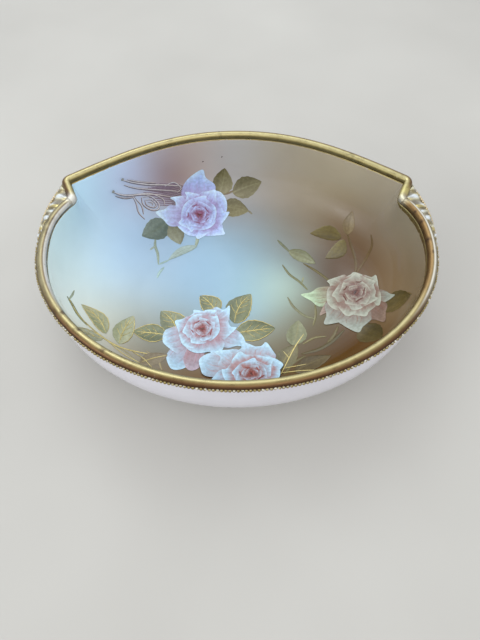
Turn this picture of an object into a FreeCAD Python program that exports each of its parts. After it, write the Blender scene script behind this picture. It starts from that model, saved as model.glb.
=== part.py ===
"""An open oval porcelain dish with two pinched, eared ends.

Millimetres, +Z up. The origin is on the table under the middle of the dish, +X runs along the
dish's length to its right end, and +Y runs from the beaded front to the plain back.

The rim outline is an oval front and a flatter back. Near each end the back overshoots the
front and steps out in a pinched ear. The wall fades from that outline to a plain oval foot.
"""

import FreeCAD, Part
import math
import os
import Sketcher

from FreeCAD import Placement, Rotation, Vector

DIMENSIONS = {
    # the outline of the outer wall where the rim sits on it
    "rim_half_length": 89.3,
    "front_depth": 74.3,
    "back_depth": 75.0,
    # where the front oval starts to draw in, and the pinched corner that it draws in to
    "pinch_start_angle": 6.0,
    "pinch_turn": 30.6,
    "pinch_length": 18.3,
    # the ear: which way it steps out of the corner, how far, and its two round corners
    "ear_angle": 64.6,
    "ear_length": 13.3,
    "ear_root_radius": 1.6,
    "ear_tip_radius": 4.4,
    # the back: how long it runs straight out of the ear, at what slope, and level at its middle
    "back_run_angle": 35.4,
    "back_run": 30.0,
    "back_level": 36.0,
    # heights and thicknesses
    "dish_height": 50.0,
    "rim_height": 3.0,
    "wall": 3.6,
    "floor_top": 7.0,
    "base_bottom": 3.0,
    # how high above the table the ears start to flare out of the wall
    "ear_bottom": 18.0,
    # the rolled rim
    "rim_overhang": 0.5,
    "rim_inner_face": 1.0,
    "rim_outer_face": 1.9,
    "rim_cove": 0.35,
    # the foot
    "foot_share": 0.6,
    "foot_width": 4.5,
    "foot_round": 0.7,
    # the raised slip beads along the front of the rim
    "bead_radius": 0.72,
    "bead_pitch": 1.55,
    "bead_height": 1.15,
    "bead_end_gap": 12.0,
    # the closed handle outside each end: a long oval swelling
    "handle_reach": 3.7,
    "handle_depth_in": 10.4,
    "handle_middle": 10.0,
    "handle_half_length": 30.0,
    "handle_half_height": 9.5,
    # how far the handle's highest point is under the rim's
    "handle_drop": 1.0,
}

SHEET = "dims"
# The wall's profile is a superellipse, so it leaves the floor level and meets the rim upright.
SIDE_POWER = 4.0
DROP_POWER = 3.2
# The share of the rim's size at which the wall meets its flat bottom, outside and inside.
OUTER_FIRST_SHARE = 0.45
INNER_FIRST_SHARE = 0.35
WALL_SECTIONS = 15
# How many points the outline takes on each of its stretches, from the front middle to the back.
FRONT_POINTS = 20
PINCH_POINTS = 5
ROOT_POINTS = 4
STEP_POINTS = 5
TIP_POINTS = 6
BACK_POINTS = 16

doc = FreeCAD.newDocument("butter_dish")


def make_sheet():
    """The driving dimensions, one named cell each."""
    sheet = doc.addObject("Spreadsheet::Sheet", SHEET)
    for row, (alias, value) in enumerate(DIMENSIONS.items(), start=1):
        sheet.set(f"A{row}", alias)
        sheet.set(f"B{row}", str(value))
        sheet.setAlias(f"B{row}", alias)
    doc.recompute()
    return sheet


sheet = make_sheet()


def size(alias):
    return float(getattr(sheet, alias))


def unit(degrees):
    """The level direction at an angle from +X towards +Y."""
    return Vector(math.cos(math.radians(degrees)), math.sin(math.radians(degrees)), 0)


def rim_seat():
    """The height of the wall's level top, which carries the rolled rim."""
    return size("dish_height") - size("rim_height")


# The outline of the right half


def pinch_poles():
    """The drawn-in end of the front: a curve from the oval to the pinched corner."""
    angle = math.radians(size("pinch_start_angle"))
    half_length, depth = size("rim_half_length"), size("front_depth")
    start = Vector(half_length * math.cos(angle), depth * math.sin(angle), 0)
    heading = math.degrees(math.atan2(depth * math.cos(angle), -half_length * math.sin(angle)))
    end_heading = heading + size("pinch_turn")
    end = start + unit((heading + end_heading) / 2) * size("pinch_length")
    pull = size("pinch_length") / 3
    return [start, start + unit(heading) * pull, end - unit(end_heading) * pull, end]


def front_curves():
    """The front, from its middle to the pinched corner at the right: an oval, then a curve."""
    along, across = Vector(size("rim_half_length"), 0, 0), Vector(0, size("front_depth"), 0)
    oval = Part.Ellipse(along, across, Vector(0, 0, 0))
    pinch = Part.BezierCurve()
    pinch.setPoles(pinch_poles())
    angle = math.radians(size("pinch_start_angle"))
    return [Part.ArcOfEllipse(oval, -math.pi / 2, angle), pinch]


def round_corner(start, heading, end_heading, radius):
    """A round corner that leaves start along heading and turns to end_heading."""
    side = 1 if end_heading > heading else -1
    centre = start + unit(heading + 90 * side) * radius
    middle = centre - unit((heading + end_heading) / 2 + 90 * side) * radius
    end = centre - unit(end_heading + 90 * side) * radius
    return Part.Arc(start, middle, end), end


def back_curves():
    """The back, from the pinched corner at the right round the ear to its middle."""
    _, _, before_end, end = pinch_poles()
    heading = math.degrees(math.atan2(end.y - before_end.y, end.x - before_end.x))
    ear_heading, back_heading = size("ear_angle"), 180 - size("back_run_angle")
    root, step_start = round_corner(end, heading, ear_heading, size("ear_root_radius"))
    cut = size("ear_tip_radius") * math.tan(math.radians(back_heading - ear_heading) / 2)
    step_end = step_start + unit(ear_heading) * (size("ear_length") - cut)
    tip, back_start = round_corner(step_end, ear_heading, back_heading, size("ear_tip_radius"))
    middle = Vector(0, size("back_depth"), 0)
    run_end = back_start + unit(back_heading) * size("back_run")
    back = Part.BezierCurve()
    back.setPoles([back_start, run_end, middle + Vector(size("back_level"), 0, 0), middle])
    return [root, Part.LineSegment(step_start, step_end), tip, back]


def samples(curve, count):
    """Points and outward normals along a curve, without its last point."""
    first, last = curve.FirstParameter, curve.LastParameter
    found = []
    for i in range(count):
        place = first + (last - first) * i / count
        ahead = curve.tangent(place)[0]
        found.append((curve.value(place), Vector(ahead.y, -ahead.x, 0)))
    return found


def front_samples():
    """Points and outward normals of the right half of the front, from its middle."""
    oval, pinch = front_curves()
    return samples(oval, FRONT_POINTS) + samples(pinch, PINCH_POINTS)


def half_outline():
    """The right half of the outline as points and outward normals, front middle to back middle."""
    root, step, tip, back = back_curves()
    found = front_samples()
    found += samples(root, ROOT_POINTS)
    found += samples(step, STEP_POINTS)
    found += samples(tip, TIP_POINTS)
    found += samples(back, BACK_POINTS)
    found.append((Vector(0, size("back_depth"), 0), Vector(0, 1, 0)))
    return found


def mirror_points(right):
    """A left-right line of points from its right half, which starts at the middle."""
    return [Vector(-point.x, point.y, 0) for point in reversed(right[1:])] + right


def full_outline(inset):
    """The closed outline as points, anticlockwise, moved inwards by inset."""
    right = [point - normal * inset for point, normal in half_outline()]
    return mirror_points(right)[1:]


# Lofts through scaled outlines


def wall_height(share, bottom):
    """The height at which the profile has a share of its full size."""
    top = rim_seat()
    return top - (top - bottom) * (1 - share**SIDE_POWER) ** (1 / DROP_POWER)


def even_shares(first_share, bottom):
    """Shares from first_share up to 1, evenly spaced along the wall's profile."""
    fine = 4000
    trial = [1 - (1 - first_share) * (1 - i / fine) ** 4 for i in range(fine + 1)]
    walked = [0.0]
    for low, high in zip(trial, trial[1:]):
        rise = wall_height(high, bottom) - wall_height(low, bottom)
        walked.append(walked[-1] + math.hypot(size("front_depth") * (high - low), rise))
    chosen = []
    for i in range(WALL_SECTIONS):
        target = walked[-1] * i / (WALL_SECTIONS - 1)
        nearest = min(range(fine + 1), key=lambda k: abs(walked[k] - target))
        chosen.append(trial[nearest])
    return chosen


def ear_share(height):
    """How much of the ear is left at a height: all at the rim, none at the ear's bottom."""
    rise = (height - size("ear_bottom")) / (rim_seat() - size("ear_bottom"))
    return max(0.0, rise) ** 2


def plain_oval_point(point, inset):
    """The point of the plain oval, without ears, that an outline point fades to."""
    half_length = size("rim_half_length") - inset
    depth = (size("front_depth") if point.y < 0 else size("back_depth")) - inset
    angle = math.atan2(point.y / depth, point.x / half_length)
    return Vector(half_length * math.cos(angle), depth * math.sin(angle), 0)


def outline_knots():
    """How far round the outline each of its points is, from 0 to 1."""
    points = full_outline(0)
    gaps = [here.distanceToPoint(after) for here, after in zip(points, points[1:] + points[:1])]
    return [sum(gaps[:i]) / sum(gaps) for i in range(len(gaps) + 1)]


def section(inset, share, height):
    """The closed outline at one height of the wall, as a wire."""
    ear = ear_share(height)
    places = []
    for point in full_outline(inset):
        plain = plain_oval_point(point, inset)
        faded = plain + (point - plain) * ear
        places.append(faded * share + Vector(0, 0, height))
    curve = Part.BSplineCurve()
    curve.interpolate(Points=places, PeriodicFlag=True, Parameters=outline_knots())
    return Part.Wire([curve.toShape()])


def profile_loft(name, inset, first_share, bottom, extra_height):
    """A solid through the wall's sections, carried straight up past the rim seat if asked."""
    shares = even_shares(first_share, bottom)
    wires = [section(inset, share, wall_height(share, bottom)) for share in shares]
    solid = Part.makeLoft(wires, True, False)
    if extra_height:
        top = Part.Face(wires[-1])
        solid = solid.fuse(top.extrude(Vector(0, 0, extra_height)))
    feature = doc.addObject("Part::Feature", name)
    feature.Shape = solid
    return feature


def boolean(kind, name, base, tool):
    """A Part::Cut, Part::Common or Part::Fuse of two objects."""
    made = doc.addObject(f"Part::{kind}", name)
    made.Base = base
    made.Tool = tool
    return made


def make_bowl_body():
    """The porcelain wall and floor in one piece, open at the top, level where the rim sits."""
    hollow = profile_loft("hollow", size("wall"), INNER_FIRST_SHARE, size("floor_top"), 1.0)
    return boolean("Cut", "bowl_body", outer_form, hollow)


# The foot


def add_oval(sketch, half_length, half_width):
    """An oval centred on the sketch's origin, its half sizes bound to expressions."""
    first_length, first_width = 50.0, 40.0
    start_form = Part.Ellipse(Vector(0, 0, 0), first_length, first_width)
    oval = sketch.addGeometry(start_form, False)
    sketch.exposeInternalGeometry(oval)
    sketch.addConstraint(Sketcher.Constraint("Coincident", oval, 3, -1, 1))
    sketch.addConstraint(Sketcher.Constraint("Horizontal", oval + 1))
    halves = ((oval + 1, first_length, half_length), (oval + 2, first_width, half_width))
    for line, first, half in halves:
        rule = sketch.addConstraint(Sketcher.Constraint("Distance", line, 2 * first))
        sketch.setExpression(f"Constraints[{rule}]", f"2 * ({half})")


def plane_of(body, role):
    return next(f for f in body.Origin.OriginFeatures if f.Role == role)


def make_foot_ring():
    """The oval ring that the dish stands on, cut to fit the curved underside of the bowl."""
    body = doc.addObject("PartDesign::Body", "foot_form")
    ring = body.newObject("Sketcher::SketchObject", "foot_plan")
    ring.AttachmentSupport = [(plane_of(body, "XY_Plane"), "")]
    ring.MapMode = "FlatFace"
    outer = (
        f"{SHEET}.rim_half_length * {SHEET}.foot_share",
        f"{SHEET}.front_depth * {SHEET}.foot_share",
    )
    add_oval(ring, *outer)
    add_oval(ring, *(f"{half} - {SHEET}.foot_width" for half in outer))
    pad = body.newObject("PartDesign::Pad", "foot_height")
    pad.Profile = ring
    pad.setExpression("Length", f"{SHEET}.base_bottom + {SHEET}.floor_top")
    doc.recompute()
    edges = [
        f"Edge{i}"
        for i, edge in enumerate(pad.Shape.Edges, start=1)
        if edge.BoundBox.ZMax < 0.01
    ]
    rounding = body.newObject("PartDesign::Fillet", "foot_rounding")
    rounding.Base = (pad, edges)
    rounding.setExpression("Radius", f"{SHEET}.foot_round")
    body.Tip = rounding
    return boolean("Cut", "foot_ring", body, outer_form)


# The rolled rim


def rim_profile(place, outward):
    """The rim's section, upright at place on the wall's outline: a round top over the wall."""
    wall, over = size("wall"), size("rim_overhang")
    inner, outer, cove = size("rim_inner_face"), size("rim_outer_face"), size("rim_cove")

    def at(across, up):
        return place + outward * across + Vector(0, 0, up)

    crest = at((over - wall) / 2, size("rim_height"))
    foot_in, foot_out = at(-wall, 0), at(0, 0)
    edges = [
        Part.LineSegment(foot_in, at(-wall, inner)),
        Part.Arc(at(-wall, inner), crest, at(over, outer)),
        Part.LineSegment(at(over, outer), at(over, cove)),
        Part.LineSegment(at(over, cove), foot_out),
        Part.LineSegment(foot_out, foot_in),
    ]
    return Part.Wire([edge.toShape() for edge in edges])


def rim_sweep(name, curves):
    """The rim's section swept along a stretch of the outline at the rim seat."""
    lift = Vector(0, 0, rim_seat())
    path = doc.addObject("Part::Feature", f"{name}_path")
    path.Shape = Part.Wire([curve.toShape() for curve in curves])
    path.Placement = Placement(lift, Rotation())
    start = curves[0].value(curves[0].FirstParameter)
    ahead = curves[0].tangent(curves[0].FirstParameter)[0]
    profile = doc.addObject("Part::Feature", f"{name}_section")
    profile.Shape = rim_profile(start + lift, Vector(ahead.y, -ahead.x, 0))
    swept = doc.addObject("Part::Sweep", name)
    swept.Sections = [profile]
    swept.Spine = (path, [f"Edge{i + 1}" for i in range(len(curves))])
    swept.Solid = True
    swept.Frenet = False
    return swept


def mirrored(name, source):
    """The left-hand twin of a right-hand piece."""
    twin = doc.addObject("Part::Mirroring", name)
    twin.Source = source
    twin.Normal = Vector(1, 0, 0)
    twin.Base = Vector(0, 0, 0)
    return twin


def both_halves(name, half):
    """A piece that runs across the dish's middle, from its right half."""
    return boolean("Fuse", name, half, mirrored(f"{name}_left_half", half))


# The raised beads


def bead_path():
    """The line that the beads stand on round the front, left corner to right corner."""
    right = [point + normal * size("rim_overhang") for point, normal in front_samples()]
    curve = Part.BSplineCurve()
    curve.interpolate(mirror_points(right))
    return curve


def make_front_beads():
    """Half-round beads of raised slip, standing on the rim's outer face."""
    path = bead_path()
    start = path.FirstParameter
    length = path.length() - 2 * size("bead_end_gap")
    gaps = int(length // size("bead_pitch"))
    lift = Vector(0, 0, rim_seat() + size("bead_height"))
    beads = []
    for i in range(gaps + 1):
        place = path.parameterAtDistance(size("bead_end_gap") + length * i / gaps, start)
        ahead = path.tangent(place)[0]
        outward = Vector(ahead.y, -ahead.x, 0)
        centre = path.value(place) + lift
        beads.append(Part.makeSphere(size("bead_radius"), centre, outward, 0, 90, 360))
    feature = doc.addObject("Part::Feature", "front_beads")
    feature.Shape = Part.Compound(beads)
    return feature


# The closed handles


def make_handle(rims):
    """The right closed handle: a long oval swelling, cut to fit the wall and then the rims."""
    form = doc.addObject("Part::Ellipsoid", "handle_form")
    form.setExpression("Radius1", f"{SHEET}.handle_half_height")
    form.setExpression("Radius2", f"{SHEET}.handle_depth_in")
    form.setExpression("Radius3", f"{SHEET}.handle_half_length")
    reach = f"{SHEET}.rim_half_length + {SHEET}.handle_reach - {SHEET}.handle_depth_in"
    top = f"{SHEET}.dish_height - {SHEET}.handle_drop - {SHEET}.handle_half_height"
    form.setExpression("Placement.Base.x", reach)
    form.setExpression("Placement.Base.y", f"{SHEET}.handle_middle")
    form.setExpression("Placement.Base.z", top)
    clearance = size("rim_height")
    inside = profile_loft("wall_and_above", 0.0, OUTER_FIRST_SHARE, size("base_bottom"), clearance)
    against_wall = boolean("Cut", "handle_against_wall", form, inside)
    against_front = boolean("Cut", "handle_against_front", against_wall, rims[0])
    return boolean("Cut", "right_handle", against_front, rims[1])


# The dish

outer_form = profile_loft("outer_form", 0.0, OUTER_FIRST_SHARE, size("base_bottom"), 0.0)
front_rim = both_halves("front_rim", rim_sweep("front_rim_right_half", front_curves()))
back_rim = both_halves("back_rim", rim_sweep("back_rim_right_half", back_curves()))
right_handle = make_handle((front_rim, back_rim))
pieces = {
    "bowl_body": make_bowl_body(),
    "foot_ring": make_foot_ring(),
    "front_rim": front_rim,
    "back_rim": back_rim,
    "front_beads": make_front_beads(),
    "right_handle": right_handle,
    "left_handle": mirrored("left_handle", right_handle),
}
doc.recompute()

for name, piece in pieces.items():
    piece.Label = name
for feature in doc.Objects:
    if any(word in feature.State for word in ("Invalid", "Error")):
        raise RuntimeError(f"{feature.Name} does not build")

os.makedirs("parts", exist_ok=True)
for name, piece in pieces.items():
    shape = piece.Shape
    if shape.isNull() or not shape.isValid():
        raise RuntimeError(f"{name} is not a sound solid")
    shape.exportStep(f"parts/{name}.step")
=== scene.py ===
"""An oval porcelain butter dish with a gilt, beaded rim and roses painted inside it."""

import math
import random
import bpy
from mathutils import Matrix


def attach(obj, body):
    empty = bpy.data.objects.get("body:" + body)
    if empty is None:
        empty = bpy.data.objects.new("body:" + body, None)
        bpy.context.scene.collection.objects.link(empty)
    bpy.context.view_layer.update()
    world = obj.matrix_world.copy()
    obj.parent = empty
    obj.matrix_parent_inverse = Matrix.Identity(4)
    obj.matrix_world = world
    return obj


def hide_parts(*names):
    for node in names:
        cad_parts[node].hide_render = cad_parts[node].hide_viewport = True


bl_info = {
    "name": "Painted Butter Dish",
    "version": (1, 0, 0),
    "blender": (4, 5, 0),
    "location": "View3D > Sidebar > Dish",
    "description": "Builds an oval porcelain dish with a gilt rim and painted roses",
    "category": "Object",
}

import bmesh
import bpy
import numpy as np
from mathutils import Vector

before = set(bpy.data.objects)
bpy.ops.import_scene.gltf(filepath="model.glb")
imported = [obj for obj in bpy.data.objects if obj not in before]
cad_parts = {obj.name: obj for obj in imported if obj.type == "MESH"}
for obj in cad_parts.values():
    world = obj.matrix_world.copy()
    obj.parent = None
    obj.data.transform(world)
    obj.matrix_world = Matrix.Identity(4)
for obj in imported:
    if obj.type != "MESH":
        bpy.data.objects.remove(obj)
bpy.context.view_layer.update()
MM = 0.001

# The dish's own sizes, in millimetres and degrees, as the solids have them.
HALF_LENGTH, FRONT_DEPTH, BACK_DEPTH = 89.3, 74.3, 75.0
PINCH_START, PINCH_TURN, PINCH_LENGTH = 6.0, 30.6, 18.3
EAR_ANGLE, EAR_LENGTH, EAR_ROOT, EAR_TIP = 64.6, 13.3, 1.6, 4.4
BACK_SLOPE, BACK_RUN, BACK_LEVEL = 35.4, 30.0, 36.0
RIM_SEAT, WALL, FLOOR_TOP, BASE_BOTTOM, EAR_BOTTOM = 47.0, 3.6, 7.0, 3.0, 18.0
SIDE_POWER, DROP_POWER = 4.0, 3.2
MEAN_RADIUS = 80.0


def rising(x, start, run):
    """Nothing up to the start, then rising to 1 over the run."""
    return np.clip((x - start) / run, 0, 1)


def falling(x, end, run):
    """1 at first, falling over the run to nothing at the end."""
    return np.clip((end - x) / run, 0, 1)


# The rim's outline


def unit(degrees):
    return np.array([math.cos(math.radians(degrees)), math.sin(math.radians(degrees))])


def bezier(poles, count):
    """Points and outward normals along a four-pole curve, without its last point."""
    t = (np.arange(count) / count)[:, None]
    a, b, c, d = (np.array(pole, float) for pole in poles)
    points = a * (1 - t) ** 3 + 3 * b * t * (1 - t) ** 2 + 3 * c * t**2 * (1 - t) + d * t**3
    ahead = (b - a) * (1 - t) ** 2 + 2 * (c - b) * t * (1 - t) + (d - c) * t**2
    ahead /= np.linalg.norm(ahead, axis=1)[:, None]
    return points, np.stack([ahead[:, 1], -ahead[:, 0]], 1)


def corner(start, heading, end_heading, radius, count):
    """Points and outward normals round a corner, its end, and nothing at the end itself."""
    side = 1 if end_heading > heading else -1
    centre = start + unit(heading + 90 * side) * radius
    points, normals = [], []
    for i in range(count):
        now = heading + (end_heading - heading) * i / count
        points.append(centre - unit(now + 90 * side) * radius)
        normals.append(unit(now - 90))
    return np.array(points), np.array(normals), centre - unit(end_heading + 90 * side) * radius


def right_half():
    """The outline's right half from the front's middle to the back's: front, then back."""
    angle = math.radians(PINCH_START)
    turn = np.linspace(-math.pi / 2, angle, 121)[:-1]
    oval = np.stack([HALF_LENGTH * np.cos(turn), FRONT_DEPTH * np.sin(turn)], 1)
    across = np.stack([np.cos(turn) * FRONT_DEPTH, np.sin(turn) * HALF_LENGTH], 1)
    across /= np.linalg.norm(across, axis=1)[:, None]
    start = np.array([HALF_LENGTH * math.cos(angle), FRONT_DEPTH * math.sin(angle)])
    heading = math.degrees(
        math.atan2(FRONT_DEPTH * math.cos(angle), -HALF_LENGTH * math.sin(angle)))
    end_heading = heading + PINCH_TURN
    end = start + unit((heading + end_heading) / 2) * PINCH_LENGTH
    pull = PINCH_LENGTH / 3
    poles = [start, start + unit(heading) * pull, end - unit(end_heading) * pull, end]
    pinch, pinch_out = bezier(poles, 18)
    back_heading = 180 - BACK_SLOPE
    root, root_out, step_start = corner(end, end_heading, EAR_ANGLE, EAR_ROOT, 8)
    cut = EAR_TIP * math.tan(math.radians(back_heading - EAR_ANGLE) / 2)
    step_end = step_start + unit(EAR_ANGLE) * (EAR_LENGTH - cut)
    along = (np.arange(8) / 8)[:, None]
    step = step_start + (step_end - step_start) * along
    step_out = np.repeat([unit(EAR_ANGLE - 90)], 8, 0)
    tip, tip_out, back_start = corner(step_end, EAR_ANGLE, back_heading, EAR_TIP, 12)
    middle = np.array([0.0, BACK_DEPTH])
    run_end = back_start + unit(back_heading) * BACK_RUN
    back, back_out = bezier([back_start, run_end, middle + (BACK_LEVEL, 0), middle], 72)
    front = (np.vstack([oval, pinch]), np.vstack([across, pinch_out]))
    rear = (
        np.vstack([root, step, tip, back, [middle]]),
        np.vstack([root_out, step_out, tip_out, back_out, [[0.0, 1.0]]]),
    )
    return front, rear


FRONT, REAR = right_half()
FLIP = np.array([-1.0, 1.0])

# the whole outline, anticlockwise from the front's middle
OUTLINE, OUTWARD = (
    np.vstack([front, rear, rear[-2::-1] * FLIP, front[:0:-1] * FLIP])
    for front, rear in zip(FRONT, REAR)
)


# The wall's profile


def profile_height(share, bottom):
    """The height of the wall's surface where its section is a share of its full size."""
    return RIM_SEAT - (RIM_SEAT - bottom) * (1 - share**SIDE_POWER) ** (1 / DROP_POWER)


def wall_ring(inset, share, height):
    """One level ring of the wall, as points."""
    rim = OUTLINE - OUTWARD * inset
    depth = np.where(rim[:, 1] < 0, FRONT_DEPTH, BACK_DEPTH) - inset
    length = HALF_LENGTH - inset
    turn = np.arctan2(rim[:, 1] / depth, rim[:, 0] / length)
    plain = np.stack([length * np.cos(turn), depth * np.sin(turn)], 1)
    ear = max(0.0, (height - EAR_BOTTOM) / (RIM_SEAT - EAR_BOTTOM)) ** 2
    ring = (plain + (rim - plain) * ear) * share
    return np.hstack([ring, np.full((len(ring), 1), height)])


def walked_along(share, height, radius):
    """The way walked along the wall's profile to each of its places, in millimetres."""
    steps = np.hypot(radius * np.diff(share), np.diff(height))
    return np.concatenate([[0], np.cumsum(steps)])


def even_shares(bottom, first, count):
    """Shares from first to 1, evenly spaced along the wall's profile."""
    trial = 1 - (1 - first) * (1 - np.linspace(0, 1, 4001)) ** 4
    walked = walked_along(trial, profile_height(trial, bottom), MEAN_RADIUS)
    return np.interp(np.linspace(0, walked[-1], count), walked, trial)


# The painting's own map: p to the right and q to the back, in millimetres measured along the
# inside of the dish from the middle of its floor.

UNROLL_RADIUS = 78.0
MAP_SHARES = np.linspace(0, 1, 4001)
MAP_HEIGHTS = profile_height(MAP_SHARES, FLOOR_TOP)
MAP_WALKED = walked_along(MAP_SHARES, MAP_HEIGHTS, UNROLL_RADIUS) / UNROLL_RADIUS


def inside_oval(across):
    """The half length and half depth of the wall's inside, at the front or at the back."""
    return HALF_LENGTH - WALL, np.where(across < 0, FRONT_DEPTH, BACK_DEPTH) - WALL


def on_oval(length, depth, share, turn):
    """The place at a turn round the oval and at a share of its size."""
    return length * share * np.cos(turn), depth * share * np.sin(turn)


def inside_point(p, q):
    """The point of the dish's inside at (p, q) of the painting's map, in millimetres."""
    p, q = np.asarray(p, float), np.asarray(q, float)
    length, depth = inside_oval(q)
    walked = np.hypot(p / length, q / depth)
    turn = np.arctan2(q / depth, p / length)
    share = np.interp(walked, MAP_WALKED, MAP_SHARES)
    height = np.interp(walked, MAP_WALKED, MAP_HEIGHTS)
    return np.stack([*on_oval(length, depth, share, turn), height], -1)


def inside_frame(p, q):
    """The points at (p, q) and the surface's unit normals there, pointing into the dish."""
    step = 0.05
    here = inside_point(p, q)
    along = inside_point(np.add(p, step), q) - here
    across = inside_point(p, np.add(q, step)) - here
    normal = np.cross(along, across)
    normal /= np.linalg.norm(normal, axis=-1)[..., None]
    return here, normal


def map_place(points):
    """The (p, q) of points inside the dish, from their share of the way out and their height."""
    x, y, z = points.T
    length, depth = inside_oval(y)
    turn = np.arctan2(y / depth, x / length)
    on_floor = np.interp(np.hypot(x / length, y / depth), MAP_SHARES, MAP_WALKED)
    on_wall = np.interp(z, MAP_HEIGHTS, MAP_WALKED)
    walked = np.where(z < FLOOR_TOP + 3, on_floor, on_wall)
    return np.stack(on_oval(length, depth, walked, turn), 1)


# Tools for making pieces


def linear(colour):
    """A display colour of 0 to 255 as the linear values that a colour attribute holds."""
    c = np.asarray(colour, float) / 255
    return np.where(c <= 0.04045, c / 12.92, ((c + 0.055) / 1.055) ** 2.4)


def deselect():
    if bpy.context.object and bpy.context.object.mode != "OBJECT":
        bpy.ops.object.mode_set(mode="OBJECT")
    bpy.ops.object.select_all(action="DESELECT")


def edit(piece):
    """Opens a piece for shaping and returns its mesh."""
    deselect()
    piece.select_set(True)
    bpy.context.view_layer.objects.active = piece
    bpy.ops.object.mode_set(mode="EDIT")
    return bmesh.from_edit_mesh(piece.data)


def drawn_through(name, rings, cap):
    """A piece drawn from a circle by extruding its edge through rings of points, in millimetres.

    The cap is "face" for flat ends or "point" for ends drawn in to their middle.
    """
    deselect()
    count = len(rings[0])
    bpy.ops.mesh.primitive_circle_add(vertices=count, radius=1.0, fill_type="NOTHING")
    piece = bpy.context.object
    piece.name = piece.data.name = name
    mesh = edit(piece)
    bpy.ops.mesh.select_mode(type="EDGE")
    for number, ring in enumerate(rings):
        if number:
            bpy.ops.mesh.extrude_edges_indiv()
            mesh = bmesh.from_edit_mesh(piece.data)
        mesh.verts.ensure_lookup_table()
        for vertex, place in zip(mesh.verts[-count:], ring):
            vertex.co = Vector(place) * MM
        bmesh.update_edit_mesh(piece.data, loop_triangles=False, destructive=False)
    bpy.ops.mesh.select_mode(type="VERT")
    for part in (slice(-count, None), slice(0, count)):
        bpy.ops.mesh.select_all(action="DESELECT")
        mesh = bmesh.from_edit_mesh(piece.data)
        mesh.verts.ensure_lookup_table()
        for vertex in mesh.verts[part]:
            vertex.select_set(True)
        mesh.select_flush(True)
        if cap == "point":
            bpy.ops.mesh.merge(type="CENTER")
        else:
            bpy.ops.mesh.edge_face_add()
    bpy.ops.mesh.select_all(action="SELECT")
    bpy.ops.mesh.normals_make_consistent(inside=False)
    bpy.ops.object.mode_set(mode="OBJECT")
    bpy.ops.object.shade_smooth()
    return piece


def give_colours(piece, name, colours):
    """Stores a linear colour on each of a piece's points."""
    attribute = piece.data.color_attributes.new(name, "FLOAT_COLOR", "POINT")
    rows = np.ones((len(colours), 4))
    rows[:, :3] = colours
    attribute.data.foreach_set("color", rows.astype(np.float32).ravel())


def give_values(piece, name, values):
    """Stores a number on each of a piece's points."""
    attribute = piece.data.attributes.new(name, "FLOAT", "POINT")
    attribute.data.foreach_set("value", np.asarray(values, np.float32))


def points_of(piece):
    """A piece's points in millimetres."""
    places = np.zeros(len(piece.data.vertices) * 3, np.float32)
    piece.data.vertices.foreach_get("co", places)
    return places.reshape(-1, 3).astype(float) / MM


def new_piece(name, points, faces):
    """A smooth piece from points in millimetres and their faces."""
    mesh = bpy.data.meshes.new(name)
    mesh.from_pydata((points * MM).tolist(), [], faces)
    for face in mesh.polygons:
        face.use_smooth = True
    piece = bpy.data.objects.new(name, mesh)
    bpy.context.collection.objects.link(piece)
    return piece


def finish_piece(piece, material, slot, *nodes):
    """Gives a piece its material, and has it stand for CAD nodes and ride with the dish."""
    piece.data.materials.clear()
    piece.data.materials.append(material)
    if nodes:
        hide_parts(*nodes)
    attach(piece, "root")
    deselect()


# Materials


class Finish:
    """A material under construction: adds nodes and joins them."""

    def __init__(self, name):
        self.material = bpy.data.materials.new(name)
        self.material.use_nodes = True
        self.tree = self.material.node_tree
        self.shader = self.tree.nodes["Principled BSDF"]
        self.place = self.add("ShaderNodeTexCoord").outputs["Object"]

    def add(self, kind, **settings):
        node = self.tree.nodes.new(kind)
        for key, value in settings.items():
            setattr(node, key, value)
        return node

    def join(self, source, target):
        if isinstance(source, bpy.types.NodeSocket):
            self.tree.links.new(source, target)
        else:
            target.default_value = source

    def feed(self, kind, values, **settings):
        """A new node with its named inputs set or joined."""
        node = self.add(kind, **settings)
        for key, value in values.items():
            self.join(value, node.inputs[key])
        return node

    def noise(self, scale, detail=4.0, roughness=0.55):
        """Noise whose grains are about 1/scale of a metre."""
        values = {"Vector": self.place, "Scale": scale, "Detail": detail, "Roughness": roughness}
        return self.feed("ShaderNodeTexNoise", values).outputs["Fac"]

    def attribute(self, name, output="Color"):
        return self.add("ShaderNodeAttribute", attribute_name=name).outputs[output]

    def ramp(self, value, low, high, low_out=0.0, high_out=1.0):
        """Runs smoothly from one value to another while its source runs from low to high."""
        values = {"Value": value, "From Min": low, "From Max": high,
                  "To Min": low_out, "To Max": high_out}
        node = self.feed("ShaderNodeMapRange", values, interpolation_type="SMOOTHSTEP")
        return node.outputs["Result"]

    def sums(self, kind, a, b):
        return self.feed("ShaderNodeMath", {0: a, 1: b}, operation=kind).outputs[0]

    def mix(self, share, a, b, blend="MIX"):
        values = {"Factor": share, "A": a, "B": b}
        node = self.feed("ShaderNodeMix", values, data_type="RGBA", blend_type=blend)
        return node.outputs["Result"]

    def bump(self, height, strength, distance):
        values = {"Strength": strength, "Distance": distance, "Height": height}
        node = self.feed("ShaderNodeBump", values)
        self.join(node.outputs["Normal"], self.shader.inputs["Normal"])

    def set(self, **values):
        """Sets or joins the shader's inputs; an underscore stands for a space."""
        for key, value in values.items():
            self.join(value, self.shader.inputs[key.replace("_", " ")])
        return self.material


def rgba(colour):
    return (*linear(colour), 1.0)


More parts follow.
